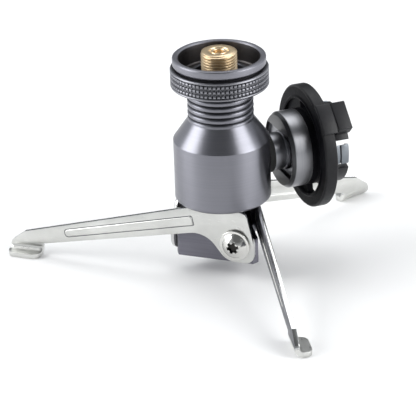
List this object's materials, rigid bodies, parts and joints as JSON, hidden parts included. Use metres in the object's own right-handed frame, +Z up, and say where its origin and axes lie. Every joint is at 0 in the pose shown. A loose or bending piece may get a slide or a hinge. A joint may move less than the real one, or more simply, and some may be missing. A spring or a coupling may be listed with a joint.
{
  "type": "camping stove cartridge adapter stand",
  "caption": "Folding tripod stand that carries a screw-on camping stove and feeds it from a lying gas cartridge; height nut, seat cup and spring valve.",
  "frame": {"origin": "on the stove post axis, at the plane the three feet stand on", "axes": "+Z up along the stove post, +X along the gas arm towards the cartridge connector"},
  "size_m": [0.1217, 0.1084, 0.0714],
  "materials": {
    "anodised_grey": "satin anodised",
    "stainless": "satin",
    "screw_steel": "polished",
    "brass": "turned",
    "black_plastic": "matt",
    "zinc_steel": "zinc plated",
    "rubber": "matt"
  },
  "bodies": {
    "stand": {"body": "anodised_grey", "leg_block": "anodised_grey", "leg_screws": "screw_steel", "leg_washers": "screw_steel", "stove_post": "brass", "valve_spring": "screw_steel", "valve_seal": "rubber", "arm_washer": "rubber", "arm_tube": "anodised_grey", "tube_seal": "rubber", "valve_housing": "anodised_grey", "coupling_ring": "black_plastic", "claw_plate": "zinc_steel", "plate_screws": "zinc_steel", "gas_nozzle": "brass", "nozzle_seal": "rubber"},
    "leg_1_body": {"leg_1": "stainless"},
    "leg_2_body": {"leg_2": "stainless"},
    "leg_3_body": {"leg_3": "stainless"},
    "seat": {"seat_cup": "anodised_grey"},
    "nut": {"height_nut": "anodised_grey"},
    "stem": {"valve_stem": "brass"}
  },
  "joints": [
    {"name": "leg_1_fold", "type": "hinge", "parent": "stand", "child": "leg_1_body", "pos_m": [-0.00084, -0.01191, 0.0121], "axis": [-0.6652, -0.7466, 0], "range_deg": [0, 76]},
    {"name": "leg_2_fold", "type": "hinge", "parent": "stand", "child": "leg_2_body", "pos_m": [0.01073, 0.00523, 0.0121], "axis": [0.9792, -0.2028, 0], "range_deg": [0, 76]},
    {"name": "leg_3_fold", "type": "hinge", "parent": "stand", "child": "leg_3_body", "pos_m": [-0.0099, 0.00668, 0.0121], "axis": [-0.314, 0.9494, 0], "range_deg": [0, 76]},
    {"name": "seat_lift", "type": "slide", "parent": "stand", "child": "seat", "axis": [0, 0, 1], "range_m": [0, 0.00201]},
    {"name": "nut_turn", "type": "hinge", "parent": "seat", "child": "nut", "pos_m": [0, 0, 0.0634], "axis": [0, 0, 1], "range_deg": [0, 720]},
    {"name": "stem_press", "type": "slide", "parent": "stand", "child": "stem", "axis": [0, 0, 1], "range_m": [-0.002, 0], "stiffness_N_per_m": 400, "springref_m": 0.001, "deforming": ["valve_spring"]}
  ],
  "couplings": [
    {"joint": "seat_lift", "follows": "nut_turn", "m_per_rad": 0.00015915}
  ]
}
